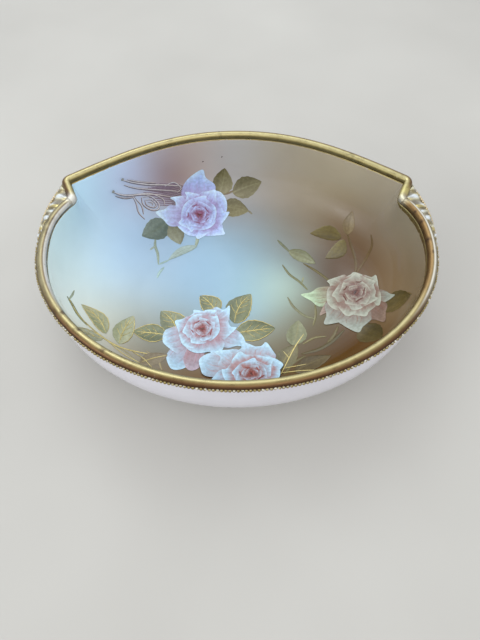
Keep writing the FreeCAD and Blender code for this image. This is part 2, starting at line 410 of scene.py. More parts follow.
def glaze_finish(look):
    """Painted and glazed porcelain, with the gilding that runs from the rim down the inside."""
    finish = Finish("painted_glaze")
    # the ground attribute holds the sprayed ground, with painted reflections of the room laid into
    # it
    ground = finish.attribute("ground")
    cloud = finish.ramp(finish.noise(60, 3), 0.3, 0.7)
    cloud = finish.mix(cloud, rgba((150, 150, 150)), rgba((255, 255, 255)))
    ground = finish.mix(0.05, ground, cloud, "MULTIPLY")
    specks = finish.ramp(finish.noise(900, 2, 0.6), 0.74, 0.80)
    ground = finish.mix(finish.sums("MULTIPLY", specks, 0.35), ground, rgba((90, 80, 70)))
    gilt = finish.attribute("gilt", "Fac")
    uneven = finish.sums("MULTIPLY", finish.sums("SUBTRACT", finish.noise(350, 4), 0.5), 0.5)
    edge = finish.sums("ADD", gilt, uneven)
    gilt = finish.ramp(edge, 0.45, 0.6)
    wear = finish.ramp(finish.noise(420, 5, 0.65), 0.60, 0.68)
    kept = finish.sums("SUBTRACT", 1.0, finish.sums("MULTIPLY", wear, 0.8))
    gilt = finish.sums("MULTIPLY", gilt, kept)
    gold = finish.mix(finish.noise(240, 5), rgba(look.gilt_dark), rgba(look.gilt_light))
    finish.bump(finish.noise(45, 2), 0.25, 0.0006)
    return finish.set(
        Base_Color=finish.mix(gilt, ground, gold),
        Metallic=finish.sums("MULTIPLY", gilt, 0.85),
        Roughness=finish.ramp(gilt, 0.0, 1.0, 0.10, 0.24),
        IOR=1.34,
    )


def gilt_finish(look, name, wear_low, wear_high, grain, laid=None):
    """Gilding over glaze, rubbed thin in places, its tone even or laid on by hand; on the rims the
    laid tone carries painted highlights and painted shade, and where the rims' bare attribute is
    set the gilding turns white as a painted highlight.
    """
    finish = Finish(name)
    gold = finish.mix(finish.noise(grain, 5), rgba(look.gilt_dark), rgba(look.gilt_light))
    if laid:
        cloud = finish.mix(finish.noise(grain, 5), rgba((186, 180, 168)), rgba((255, 255, 255)))
        gold = finish.mix(1.0, finish.attribute(laid), cloud, "MULTIPLY")
    wear_and_highlight = finish.ramp(finish.noise(grain * 1.7, 6, 0.7), wear_low, wear_high)
    # on the rims, the bare attribute adds the white painted highlights to the rubbed places
    if laid == "tone":
        wear_and_highlight = finish.sums("MAXIMUM", wear_and_highlight, finish.attribute("bare", "Fac"))
    dirt = finish.ramp(finish.noise(grain * 0.6, 4, 0.6), 0.55, 0.72)
    colour = finish.mix(finish.sums("MULTIPLY", dirt, 0.45), gold, rgba((66, 54, 34)))
    colour = finish.mix(wear_and_highlight, colour, rgba((212, 210, 202)))
    finish.bump(finish.noise(grain * 2.2, 4), 0.3, 0.00012)
    return finish.set(
        Base_Color=colour,
        Metallic=finish.ramp(wear_and_highlight, 0.0, 1.0, 0.8, 0.1),
        Roughness=finish.ramp(finish.noise(grain, 4), 0.3, 0.7, 0.26, 0.44),
    )


def relief_finish():
    """Moulded relief under the glaze, gilded on its ridges, with painted shade darkening its
    hollows.
    """
    finish = Finish("gilt_relief")
    tone = finish.attribute("tone")
    gilt = finish.attribute("gilt", "Fac")
    cloud = finish.mix(finish.noise(500, 5, 0.6), rgba((196, 192, 186)), rgba((255, 255, 255)))
    finish.bump(finish.noise(700, 4), 0.3, 0.0002)
    return finish.set(
        Base_Color=finish.mix(0.7, tone, cloud, "MULTIPLY"),
        Metallic=finish.sums("MULTIPLY", gilt, 0.75),
        Roughness=finish.ramp(finish.noise(400, 4), 0.3, 0.7, 0.16, 0.34),
    )


def porcelain_finish(look):
    """White glazed porcelain, with the glaze thinner and rougher at the very bottom."""
    finish = Finish("white_glaze")
    height = finish.add("ShaderNodeSeparateXYZ")
    finish.join(finish.place, height.inputs[0])
    bare = finish.ramp(height.outputs["Z"], 0.0008, 0.0002)
    tone = finish.mix(finish.noise(90, 3), rgba(look.porcelain), rgba((240, 240, 236)))
    finish.bump(finish.noise(60, 2), 0.2, 0.0004)
    return finish.set(
        Base_Color=finish.mix(bare, tone, rgba((196, 186, 168))),
        Roughness=finish.ramp(bare, 0.0, 1.0, 0.12, 0.7),
        IOR=1.5,
    )


def floor_finish(look):
    """A plain pale floor with a trace of mottle."""
    finish = Finish("pale_floor")
    tone = finish.mix(finish.noise(5, 3), rgba(look.floor), rgba((192, 190, 185)))
    return finish.set(Base_Color=tone, Roughness=0.75)


# The painted ground: soft clouds of colour sprayed inside the dish, with painted reflections of the
# room on the glaze laid into them, each at a place (p, q) of the painting's map with its reach, in
# millimetres, and its colour.

GROUND_AND_REFLECTION_CLOUDS = (
    # the pale blue and white of the left wall and the middle: partly the ground's own colour,
    # partly a painted reflection of a window and the sky on the glaze
    (-95, 50, 30, (194, 232, 255)), (-97, 5, 28, (230, 255, 255)), (-60, 25, 25, (178, 206, 240)),
    (-30, 15, 25, (122, 160, 186)), (0, 12, 22, (144, 178, 202)), (-48, -8, 18, (152, 166, 166)),
    (-92, -35, 26, (250, 255, 248)), (-80, -60, 22, (226, 228, 212)),
    (-65, -22, 14, (192, 188, 166)), (14, 4, 13, (162, 192, 184)), (14, 30, 16, (116, 136, 142)),
    (-72, 62, 14, (210, 204, 236)), (-44, 28, 12, (142, 156, 168)), (24, 4, 8, (184, 198, 170)),
    (28, 30, 12, (114, 108, 86)),
    # the purple-brown haze behind the back rose, and the grey-beige back wall
    (-47, 66, 13, (146, 106, 106)), (-32, 79, 16, (192, 172, 162)), (0, 60, 16, (148, 148, 152)),
    (-39, 70, 9, (116, 78, 72)), (-54, 82, 12, (190, 178, 182)), (20, 66, 9, (148, 138, 126)),
    (0, 88, 20, (188, 184, 182)), (30, 80, 20, (174, 162, 142)), (35, 45, 16, (130, 116, 98)),
    (66, 78, 14, (194, 180, 156)), (77, 57, 10, (178, 166, 142)), (70, 37, 12, (96, 68, 34)),
    # the warm browns of the right wall and the brown shading sprayed round the right rose: partly
    # the ground's own colour, partly a painted reflection of a wooden table
    (92, 46, 18, (160, 150, 132)), (106, 10, 20, (152, 142, 122)), (58, 64, 14, (158, 146, 122)),
    (58, 45, 9, (110, 84, 50)), (59, 15, 13, (72, 38, 2)), (47, 13, 11, (80, 54, 10)),
    (80, 10, 14, (106, 78, 42)), (88, -6, 12, (116, 88, 52)), (62, -38, 14, (84, 48, 8)),
    (44, -34, 13, (74, 44, 4)), (38, -23, 9, (84, 66, 24)), (85, -38, 16, (122, 98, 64)),
    (100, -25, 18, (142, 126, 102)), (33, -18, 11, (118, 112, 78)), (24, -42, 11, (84, 60, 20)),
    (52, -60, 20, (108, 80, 36)), (22, -16, 8, (150, 160, 148)),
    # the tan haze round the front roses
    (-58, -46, 12, (148, 122, 92)), (-43, -34, 13, (88, 80, 54)), (-50, -19, 8, (134, 130, 110)),
    (-15, -60, 18, (122, 94, 62)), (-78, -46, 9, (160, 146, 114)),
    (-28, -22, 10, (124, 128, 108)), (15, -32, 8, (132, 128, 100)),
)


def ground_and_reflection_colours(places):
    """The sprayed ground's colour, with its painted reflections, at points of the painting's map,
    softened all round.
    """
    blended = np.zeros((len(places), 3))
    nearby = [(0.0, 0.0)]
    nearby += [unit(60 * i + 15 * ring) * 5.5 * ring for ring in (1, 2) for i in range(6)]
    for offset in nearby:
        total = np.zeros((len(places), 3))
        weight = np.zeros((len(places), 1))
        for p, q, reach, colour in GROUND_AND_REFLECTION_CLOUDS:
            away = (places[:, :1] + offset[0] - p) ** 2 + (places[:, 1:] + offset[1] - q) ** 2
            share = np.exp(-away / (2 * (reach * 0.8) ** 2)) + 1e-7 * np.exp(-away / 3000)
            total += share * linear(colour)
            weight += share
        blended += total / weight / len(nearby)
    return blended


# The painting: thin enamel strokes that follow the inside of the dish


def between(a, b, c, d, t):
    """A smooth line's places from b to c, with a before them and d after them."""
    return 0.5 * (2 * b + (c - a) * t + (2 * a - 5 * b + 4 * c - d) * t**2
                  + (3 * b - a - 3 * c + d) * t**3)


def closed_curve(controls, count):
    """A smooth closed line through control points."""
    controls = np.asarray(controls, float)
    n = len(controls)
    place = np.arange(count) * n / count
    i, t = place.astype(int), (place % 1)[:, None]
    return between(*(controls[(i + k) % n] for k in (-1, 0, 1, 2)), t)


def open_curve(controls, count):
    """A smooth line through control points, from the first to the last."""
    controls = np.asarray(controls, float)
    ends = np.vstack([2 * controls[0] - controls[1], controls, 2 * controls[-1] - controls[-2]])
    place = np.linspace(0, len(controls) - 1, count)
    i = np.minimum(place.astype(int), len(controls) - 2)
    t = (place - i)[:, None]
    return between(*(ends[i + k] for k in range(4)), t)


def mixed(a, b, share):
    """The first colour at no share, the second at a full one."""
    share = np.clip(np.asarray(share, float), 0, 1)[..., None]
    return np.asarray(a, float) * (1 - share) + np.asarray(b, float) * share


def leaf_places(base, tip, width, bend, along, across):
    """Places on a leaf: along from its base to its tip, across from -1 to 1."""
    base, tip = np.asarray(base, float), np.asarray(tip, float)
    span = np.linalg.norm(tip - base)
    ahead = (tip - base) / span
    aside = np.array([-ahead[1], ahead[0]])
    swell = np.sin(math.pi * along**0.82) ** 0.85 + 0.012
    swell *= 1 + 0.025 * np.sin(along * 34 + span)
    middle = base + ahead * span * along[..., None]
    middle = middle + aside * (span * bend * np.sin(math.pi * along))[..., None]
    return middle - aside * (across * width / 2 * swell)[..., None]


# how far the first stroke stands off the glaze, and each later one further, in millimetres
FIRST_RISE, NEXT_RISE = 0.03, 0.010


class Painting:
    """Strokes gathered into one piece, each laid a step above the one before."""

    def __init__(self, seed, layer=0, step=1):
        self.points, self.faces, self.colours = [], [], []
        self.layer, self.step = layer, step
        self.random = random.Random(seed)

    def lay(self, flat, height, colours, faces):
        """Adds one stroke: its (p, q) places, its heights over the glaze, its colours and faces."""
        here, normal = inside_frame(flat[:, 0], flat[:, 1])
        first = sum(len(part) for part in self.points)
        rise = FIRST_RISE + NEXT_RISE * self.layer + height
        self.points.append(here + normal * rise[:, None])
        self.colours.append(linear(np.clip(colours, 0, 255)))
        self.faces += [tuple(first + i for i in face) for face in faces]
        self.layer += self.step

    def grid_faces(self, rows, columns, wrap=False):
        """The faces of a grid of points, row by row, closed round if it wraps."""
        faces = []
        for r in range(rows - 1):
            for c in range(columns if wrap else columns - 1):
                d = (c + 1) % columns
                corners = (r * columns + c, r * columns + d)
                faces.append((*corners, corners[1] + columns, corners[0] + columns))
        return faces

    def petal(self, heart, angle, reach, width, edge, shade, inner, outline):
        """A petal from the heart outwards, dark where the next ones cover it, bright at its tip."""
        peak = self.random.choice((-1, 0, 1))
        wobble = [self.random.uniform(-0.06, 0.06) for _ in range(9)]
        point = 0.10 * abs(peak)
        shape = ((0.08, 0.10), (0.42, 0.44), (0.74, 0.56 - point / 2), (0.94, 0.34 - point),
                 (1.01 + point, peak * 0.14), (0.90, point - 0.36), (0.72, point / 2 - 0.55),
                 (0.42, -0.42), (0.08, -0.10))
        ahead, aside = unit(angle), unit(angle + 90)
        controls = [heart + ahead * reach * (x + w * 0.6) + aside * width * (y + w)
                    for (x, y), w in zip(shape, wobble)]
        line = closed_curve(controls[::-1], 60)
        middle = line.mean(0)
        rings = 12
        share = (np.arange(rings + 1) / rings) ** 0.8
        flat = np.concatenate([middle + (line - middle) * f for f in np.maximum(share, 0.002)])
        f = np.repeat(share, len(line))
        out = ((flat - heart) @ ahead) / reach
        side = ((flat - heart) @ aside) / width
        streak = np.sin(side * 22 + out * 3 + self.random.uniform(0, 6)) * 0.5
        streak += np.sin(side * 49 - out * 5 + self.random.uniform(0, 6)) * 0.3
        lean = self.random.uniform(-0.22, 0.22)
        depth = (out + 0.06 * streak + lean * side - inner) / (0.93 - inner)
        dark = np.clip(1 - depth, 0, 1) ** 1.15
        dark = np.maximum(dark, outline * rising(f, 0.84, 0.16) * np.clip(1.25 - out, 0, 1))
        colour = mixed(edge, shade, dark)
        bright = rising(f, 0.6, 0.35) * rising(out, 0.72, 0.25)
        colour = mixed(colour, np.minimum(np.asarray(edge, float) * 1.12 + 8, 255), bright * 0.9)
        colour += (streak * 5.0)[:, None]
        height = 0.05 * (1 - f**3) - 0.05 * (f > 0.99)
        self.lay(flat, height, colour, self.grid_faces(rings + 1, len(line), True))

    def dab(self, place, length, width, angle, colour):
        """A short rounded touch of the brush."""
        ahead, aside = unit(angle), unit(angle + 90)
        line = [np.asarray(place) + ahead * length * x for x in (-0.5, 0.0, 0.5)]
        line[1] = line[1] + aside * width * 0.35
        self.stroke(line, width, colour, colour, 10)

    def stroke(self, controls, width, start, end, count=0, lift=0.05, taper=0.35):
        """A drawn line of the brush, tapering at both ends."""
        controls = [np.asarray(c, float) for c in controls]
        span = sum(np.linalg.norm(b - a) for a, b in zip(controls, controls[1:]))
        count = count or max(6, int(span / 0.8))
        line = open_curve(controls, count)
        ahead = np.gradient(line, axis=0)
        ahead /= np.linalg.norm(ahead, axis=1)[:, None]
        aside = np.stack([-ahead[:, 1], ahead[:, 0]], 1)
        along = np.linspace(0, 1, count)
        half = width / 2 * (1 - (1 - taper) * np.abs(2 * along - 1) ** 3)
        across = np.array([-1, -0.6, 0, 0.6, 1])
        flat = line[:, None] - aside[:, None] * (across[None, :, None] * half[:, None, None])
        height = np.tile(lift * (1 - across**2) - 0.05 * (np.abs(across) == 1), count)
        tone = mixed(start, end, along)[:, None] * (1 + 0.10 * (1 - np.abs(across)))[None, :, None]
        faces = [face[::-1] for face in self.grid_faces(count, 5)]
        self.lay(flat.reshape(-1, 2), height, tone.reshape(-1, 3), faces)

    def leaf(self, base, tip, width, dark, light, vein, bend):
        """A pointed leaf from its base to its tip, darker on one side, with drawn veins."""
        rows, columns = 34, 17
        t, s = np.meshgrid(np.linspace(0, 1, rows), np.linspace(-1, 1, columns), indexing="ij")
        flat = leaf_places(base, tip, width, bend, t, s)
        phase = self.random.uniform(0, 6)
        side_vein = np.abs(((t * 6.5 - np.abs(s) * 1.3) % 1) - 0.5) * 2
        side_vein = rising(side_vein, 0.80, 0.2) * (np.abs(s) < 0.86)
        mid_vein = np.clip(1 - np.abs(s) / 0.14, 0, 1) * (t < 0.93)
        body = 0.5 + 0.36 * s + 0.20 * np.sin(t * 4 + phase) + 0.12 * np.cos(s * 9 + t * 5)
        colour = mixed(dark, light, body)
        colour = mixed(colour, vein, np.maximum(0.35 * side_vein, 0.6 * mid_vein))
        height = 0.05 * (1 - s**4) - 0.05 * (np.abs(s) == 1)
        faces = [face[::-1] for face in self.grid_faces(rows, columns)]
        self.lay(flat.reshape(-1, 2), height.ravel(), colour.reshape(-1, 3), faces)

    def rose(self, heart, outer, size, edge, shade, core):
        """A full-blown rose: its outer petals, then rings of smaller ones round its heart."""
        heart = np.asarray(heart, float)
        for angle, reach, width, *own in outer:
            own_edge = own[0] if own else edge
            own_shade = own[1] if len(own) > 1 else mixed(own_edge, shade, 0.75)
            self.petal(heart, angle, reach, width, own_edge, own_shade,
                       min(0.75, size / reach), 0.45)
            if reach > size * 1.5:
                for lean in (-13, 4, 15):
                    aim = unit(angle + lean * self.random.uniform(0.7, 1.2))
                    place = heart + aim * reach * 0.74
                    crease = (place - unit(angle + lean) * reach * 0.13,
                              place + unit(angle + 90) * 0.3,
                              place + unit(angle - lean) * reach * 0.13)
                    self.stroke(crease, width * 0.05,
                                mixed(own_edge, shade, 0.8), mixed(own_edge, shade, 0.25))
        turn = self.random.uniform(0, 360)
        for count, reach, width, tint, deep, inner in (
            (5, 1.04, 1.2, 0.60, 0.05, 0.55), (4, 0.74, 1.05, 0.85, 0.25, 0.50),
            (4, 0.50, 0.74, 1.0, 0.60, 0.40), (3, 0.32, 0.50, 1.0, 0.9, 0.3),
        ):
            for i in range(count):
                angle = turn + 360 * i / count + self.random.uniform(-14, 14)
                far = size * reach * self.random.uniform(0.88, 1.12)
                self.petal(heart + unit(angle) * size * 0.05, angle, far, size * width,
                           mixed(edge, shade, deep * 0.35),
                           mixed(mixed(edge, shade, tint), core, deep), inner, 0.75)
            turn += 180 / count + self.random.uniform(0, 25)
        for i in range(4):
            angle = turn + 90 * i + self.random.uniform(-15, 15)
            place = heart + unit(angle) * size * 0.13
            self.dab(place, size * 0.30, size * 0.13, angle + 70, mixed(core, shade, 0.15 * i))
        self.dab(heart, size * 0.24, size * 0.15, turn, np.asarray(core) * 0.72)
        for i in range(5):
            angle = turn + 72 * i + self.random.uniform(-14, 14)
            place = heart + unit(angle) * size * self.random.uniform(0.45, 0.8)
            self.dab(place, size * self.random.uniform(0.3, 0.5), size * 0.07,
                     angle + 90 + self.random.uniform(-20, 20), mixed(shade, core, 0.6))

    def finish(self, name, material, slot="painted_porcelain"):
        """Makes the strokes one piece."""
        made = new_piece(name, np.concatenate(self.points), self.faces)
        give_colours(made, "paint", np.concatenate(self.colours))
        finish_piece(made, material, slot)


# Each bloom: its heart, its outer petals as (angle, reach, width, own colours), its size, and
# the colours of its petals' edges, of their shade and of its core.

MAUVE_WHITE, SKY_WHITE, WARM_WHITE = (172, 196, 246), (166, 200, 226), (150, 153, 138)

BLOOMS = {
    "back": (
        ((-22, 51), ((95, 22, 21), (36, 18, 13), (-47, 17, 13), (-85, 14, 16), (-4, 15, 16),
                     (-132, 15, 15), (188, 23, 12, (182, 206, 244)), (152, 17, 9, (178, 200, 240)),
                     (62, 15, 12), (118, 13, 12), (215, 12, 11)),
         9.6, MAUVE_WHITE, (152, 130, 180), (120, 54, 74)),
    ),
    "right": (
        ((61.5, -4), ((180, 25, 12, (164, 188, 156)), (207, 20, 9, (132, 112, 100)),
                      (-27, 19, 10, (142, 147, 136)), (-60, 23, 13, (126, 104, 90)),
                      (-100, 23, 19, (146, 154, 144)), (-132, 22, 15, (140, 147, 138)),
                      (138, 15, 14), (78, 12, 15), (28, 13, 14), (-36, 14, 13), (192, 15, 16),
                      (-84, 15, 15), (-120, 14, 13)),
         9.8, WARM_WHITE, (114, 72, 56), (84, 32, 20)),
    ),
    "front": (
        ((-17.5, -23.5), ((240, 27, 13), (258, 25, 9, (166, 152, 166)), (206, 21, 14),
                          (-22, 22, 11), (40, 17, 11), (64, 12, 11), (104, 11, 12), (168, 13, 11),
                          (-5, 15, 12), (-60, 16, 12), (-98, 15, 12), (226, 13, 11)),
         8.2, SKY_WHITE, (164, 104, 114), (116, 44, 40)),
        ((7, -51), ((160, 26, 14), (137, 20, 14), (194, 19, 13), (97, 18, 16), (66, 19, 14),
                    (27, 14, 15), (-14, 13, 13), (-60, 13, 14), (-110, 13, 14), (178, 13, 14),
                    (118, 13, 13), (48, 12, 12)),
         9.0, SKY_WHITE, (168, 110, 108), (118, 42, 30)),
    ),
}

# Each leaf: its base, its tip, its width, its dark, light and vein colours, and its bend.

KHAKI = ((98, 92, 62), (140, 134, 102), (150, 146, 112))
GREY_GREEN = ((84, 100, 92), (128, 142, 134), (110, 122, 104))
SAGE = ((84, 92, 58), (136, 142, 110), (162, 156, 102))
PALE_SAGE = ((146, 152, 120), (186, 188, 160), (190, 182, 130))
UMBER = ((84, 70, 24), (116, 104, 54), (98, 84, 36))
OLIVE = ((70, 60, 28), (108, 92, 52), (92, 80, 42))
MIST = ((142, 162, 156), (158, 178, 176), (132, 150, 134))

LEAVES = {
    "back": (
        ((-11, 63), (-8, 77.5), 12, *KHAKI, -0.05), ((-3, 64.5), (14.5, 70), 11.5, *KHAKI, 0.02),
        ((-10, 56.5), (6.5, 54), 11, *KHAKI, 0.03), ((-40, 45), (-53.5, 34), 13, *GREY_GREEN, 0.05),
        ((-37, 45.5), (-32, 31), 10, (104, 104, 82), (140, 144, 122), (128, 130, 104), -0.03),
        ((-22.5, 30.5), (-38, 20), 5, *MIST, -0.08),
    ),
    "right": (
        ((58, 32), (41, 37.5), 8.5, *UMBER, -0.12), ((59.5, 30.5), (48, 20.5), 8.5, *UMBER, 0.14),
        ((61.5, 33), (66.5, 45), 7, (102, 84, 50), (134, 116, 82), (108, 92, 56), 0.06),
        ((72, -16), (91, -20.5), 13, *OLIVE, 0.08), ((61, -25), (70.5, -39), 13, *OLIVE, -0.03),
        ((28.5, 27), (42.5, 17.5), 7.5, (100, 102, 66), (140, 144, 112), (112, 108, 70), 0.03),
    ),
    "front": (
        ((-10.5, -15), (-19.5, -3), 11, *SAGE, -0.10), ((-1.5, -20), (7, -1.8), 13, *SAGE, 0.10),
        ((-1, -26), (19, -23), 12.5, *SAGE, 0.02), ((-29.5, -28), (-39, -13), 13, *SAGE, -0.12),
        ((-35, -27.5), (-51.5, -27), 11, *SAGE, -0.03),
        ((-57, -36.5), (-52.5, -17), 10, *PALE_SAGE, 0.06),
        ((-64, -31.5), (-79, -17.5), 9, *PALE_SAGE, -0.14),
        ((-65, -36), (-81, -41), 8, (160, 162, 136), (176, 178, 156), (164, 160, 124), -0.05),
        ((-46, -47.5), (-33, -39.5), 8, (126, 114, 92), (146, 134, 112), (156, 144, 108), 0.05),
        ((27, -33.5), (31, -18.5), 10, (112, 116, 80), (150, 154, 124), (146, 140, 96), -0.05),
        ((20, -48), (29.5, -33), 10, (92, 86, 52), (126, 118, 80), (168, 156, 96), 0.05),
        ((27, -50), (45, -41.5), 9, (82, 68, 36), (110, 94, 58), (122, 108, 64), 0.05),
    ),
}

# Each stem: the places it runs through, its width and its colour.

STEMS = {
    "back": (
        (((-10.5, 63.5), (-6, 64), (-1.5, 66)), 1.0, (112, 98, 74)),
        (((6, 54.3), (8.5, 52)), 0.9, (120, 114, 94)),
        (((-46, 34), (-45.8, 29), (-44, 24), (-43, 17)), 1.2, (128, 142, 128)),
        (((-45.6, 29), (-48.4, 26)), 0.8, (140, 152, 140)),
        (((-23, 40), (-22.6, 35), (-23.5, 29.5)), 1.5, (132, 144, 128)),
        (((-37.5, 20.3), (-43, 16.8)), 0.9, (138, 162, 158)),
        (((-39.8, 15.5), (-42, 11.5), (-43, 8)), 1.1, (142, 168, 166)),
    ),
    "right": (
        (((61.5, 34), (62.5, 27), (63.8, 19), (63.6, 12), (61.5, 6)), 1.3, (84, 66, 32)),
        (((74.6, 29), (74, 23), (70, 17), (66, 12), (63, 8)), 1.3, (88, 68, 34)),
        (((22.5, 34.5), (25.5, 30.5), (29.5, 25.5)), 1.2, (94, 98, 72)),
        (((36, 18), (42, 13), (46, 9), (50, 4.5)), 1.2, (88, 78, 38)),
        (((24.5, 17.5), (28, 11), (33, 6), (37, 0.5)), 1.1, (104, 106, 74)),
        (((34.3, 5), (35.4, 9)), 0.7, (130, 134, 104)),
        (((26.3, -4), (29, -10), (34, -15.5), (39.5, -18)), 1.1, (112, 112, 84)),
        (((40.2, -9), (39.8, -16), (38, -22)), 1.0, (108, 102, 66)),
        (((53, -26), (47, -32), (40, -36.5), (31, -39)), 1.5, (78, 68, 32)),
        (((50.5, -23), (47.5, -29), (44, -33)), 1.2, (96, 84, 48)),
        (((44, -29), (38, -29.5), (32, -33)), 0.9, (118, 110, 72)),
        (((82, -13.5), (88, -16), (92, -21)), 0.9, (104, 86, 52)),
    ),
    "front": (
        (((-84.3, -11), (-85, -15), (-86.5, -19.5)), 1.1, (150, 160, 138)),
        (((-88, -18.5), (-84, -21.5), (-80, -26), (-74, -30.5)), 2.0, (134, 142, 112)),
        (((-70, -33), (-60, -37.5), (-52, -42), (-46, -48)), 0.9, (146, 140, 112)),
        (((-44, -38), (-38, -43), (-35, -50)), 0.8, (150, 138, 106)),
        (((33, -40), (27, -44), (22, -51)), 1.0, (100, 92, 52)),
    ),
}

# The small dark specks fired into the glaze.

SPECKS = {"back": ((-22.3, 80.3), (-10.2, 83.7)), "right": ((74, -7.5),), "front": ()}

# The gilt lines drawn over the stems, and the raised tracery left of the back bloom: the places
# each runs through, and its width. All the gilding lies on one layer, and the first few of the
# front leaves have gilt edges and veins too.

GILT_LAYER, GILDED_LEAVES = 18, 8
GILT_START, GILT_END = (214, 198, 132), (224, 208, 144)

GILT_LINES = (
    (((-86.5, -19.5), (-80, -26), (-72, -31), (-63, -36), (-55, -38.8), (-43, -40)), 0.9),
    (((20.5, -51), (24.5, -42), (28.5, -34), (33, -27)), 0.7), (((25, -41), (22.5, -37)), 0.45),
    (((21, -50), (30, -49.5), (40, -50.5)), 0.5), (((23, -47), (33, -45.5)), 0.45),
    (((-45, -46), (-40, -42.5), (-34, -40)), 0.5), (((-62, -37), (-54, -43), (-46, -47)), 0.4),
    (((-50, -40), (-44, -44), (-40, -49)), 0.4),
)

TRACERY = (
    (((-73, 60.4), (-64, 61.4), (-54, 62.8), (-44, 64.6), (-34, 65.6)), 0.8),
    (((-71, 58.2), (-62, 59.0), (-52, 60.6), (-42, 62.0), (-34, 62.6)), 0.6),
    (((-70, 61.6), (-60, 62.9), (-50, 64.6)), 0.5),
    (((-76, 52.3), (-70, 52.9), (-64, 54.4), (-57, 56.8), (-48, 58.6), (-38, 59.0)), 0.8),
    (((-74, 51.0), (-67, 52.0), (-61, 54.4)), 0.5),
    (((-63, 54.6), (-59.5, 51.5), (-57, 47.0), (-53, 44.0)), 0.5),
    (((-61, 54.0), (-56, 51.0), (-54, 46.6)), 0.45),
    (((-57, 55.0), (-52, 57.0), (-46.5, 54.6), (-46, 51.2), (-50, 50.0), (-55, 51.6),
      (-57, 55.0)), 0.55),
    (((-54.6, 54.2), (-51, 55.4), (-47.6, 53.6), (-48.6, 51.6), (-53, 52.0), (-54.6, 54.2)), 0.45),
    (((-52.6, 53.6), (-50, 54.0), (-49.6, 52.6)), 0.4),
    (((-60, 56.2), (-52, 58.4), (-44, 57.0), (-42.6, 53.6)), 0.5),
    (((-44, 64.0), (-39, 66.8), (-34, 64.6), (-36, 61.8)), 0.45),
)


def paint_finish():
    """Enamel under a gloss glaze, its colour laid on by hand."""
    finish = Finish("painted_enamel")
    paint = finish.attribute("paint")
    mottle = finish.ramp(finish.noise(700, 3), 0.3, 0.7)
    shade = finish.mix(mottle, rgba((226, 222, 218)), rgba((255, 255, 255)))
    finish.bump(finish.noise(500, 3), 0.15, 0.0002)
    return finish.set(
        Base_Color=finish.mix(0.8, paint, shade, "MULTIPLY"),
        Roughness=finish.ramp(finish.noise(300, 3), 0.3, 0.7, 0.14, 0.26),
        IOR=1.42,
    )


# Sizes and colours that can be changed


class DishLook(bpy.types.PropertyGroup):
    """The finishes' colours, in display values."""

    porcelain: bpy.props.IntVectorProperty(
        name="Porcelain", description="Colour of the bare glazed porcelain", size=3,
        default=(216, 214, 222), min=0, max=255)
    gilt_light: bpy.props.IntVectorProperty(
        name="Bright gilt", description="Gilding where it is burnished", size=3,
        default=(172, 156, 108), min=0, max=255)
    gilt_dark: bpy.props.IntVectorProperty(
        name="Dark gilt", description="Gilding where it is thick and dull", size=3,
        default=(118, 102, 60), min=0, max=255)
    floor: bpy.props.IntVectorProperty(
        name="Floor", description="Colour of the floor under the dish", size=3,
        default=(164, 161, 156), min=0, max=255)


class DishSizes(bpy.types.PropertyGroup):
    """How finely the pieces are made, and how far the gilding runs."""

    outer_rings: bpy.props.IntProperty(
        name="Outer rings", description="Rings of the outer wall", default=38, min=10, max=80)
    inner_rings: bpy.props.IntProperty(
        name="Inner rings", description="Rings of the inner wall", default=104, min=20, max=160)
    gilt_band: bpy.props.FloatProperty(
        name="Gilt band", description="How far the rim's gilding runs down the inside",
        default=0.0018, min=0.0, max=0.01, unit="LENGTH")


# Pieces


class DISH_OT_bowl(bpy.types.Operator):
    """Draw the bowl from its underside round the rim's seat to the middle of its floor"""

    bl_idname = "dish.bowl"
    bl_label = "Bowl"

    def execute(self, context):
        sizes, look = context.scene.dish_sizes, context.scene.dish_look
        outer = even_shares(BASE_BOTTOM, 0.45, sizes.outer_rings)
        inner = even_shares(FLOOR_TOP, 0.02, sizes.inner_rings)[::-1]
        bottom = profile_height(outer[0], BASE_BOTTOM)
        rings = [wall_ring(0.0, share, bottom) for share in (0.1, 0.2, 0.3, 0.38)]
        for inset, shares, lowest in ((0.0, outer, BASE_BOTTOM), (WALL, inner, FLOOR_TOP)):
            rings += [wall_ring(inset, share, profile_height(share, lowest)) for share in shares]
        bowl = drawn_through("bowl", rings, "point")
        points = points_of(bowl)
        inside = np.arange(len(points)) >= len(points) - (len(inner) - 1) * len(rings[0]) - 1
        colours = np.tile(linear(look.porcelain), (len(points), 1))
        # the inside takes the sprayed ground's colours, with painted reflections in them
        colours[inside] = ground_and_reflection_colours(map_place(points[inside]))
        give_colours(bowl, "ground", colours)
        end = rising(np.abs(points[:, 0]), 60, 18)
        front = falling(points[:, 1], 26, 4)
        notch = end * np.exp(-((points[:, 1] - 14) / 22) ** 2) * front
        band = sizes.gilt_band / MM * (0.35 + 0.65 * front + np.sign(points[:, 0]) * 0.7 * notch)
        gilt = np.where(inside, np.clip(1.5 - (RIM_SEAT - points[:, 2]) / band, 0, 1), 0)
        give_values(bowl, "gilt", gilt)
        finish_piece(bowl, glaze_finish(look), "painted_porcelain", "bowl_body")
        return {"FINISHED"}


# the rolled rim's section: steps over its round crest, and points in all

CREST_STEPS = 16
SECTION_POINTS = CREST_STEPS + 6


def rim_section(place, outward):
    """The rolled rim's section at a place of the outline: flat below, round on top."""
    half = (WALL + 0.5) / 2
    across = [-WALL, -WALL]
    up = [0.0, 0.7]
    for i in range(CREST_STEPS + 1):
        turn = math.pi * (1 - i / CREST_STEPS)
        across.append(0.5 - half + half * math.cos(turn))
        up.append(1.0 + 2.0 * math.sin(turn) ** 0.85)
    across += [0.5, 0.5, 0.0]
    up += [0.9, 0.35, 0.0]
    rows = [(*(place + outward * a), RIM_SEAT + u) for a, u in zip(across, up)]
    return np.array(rows)
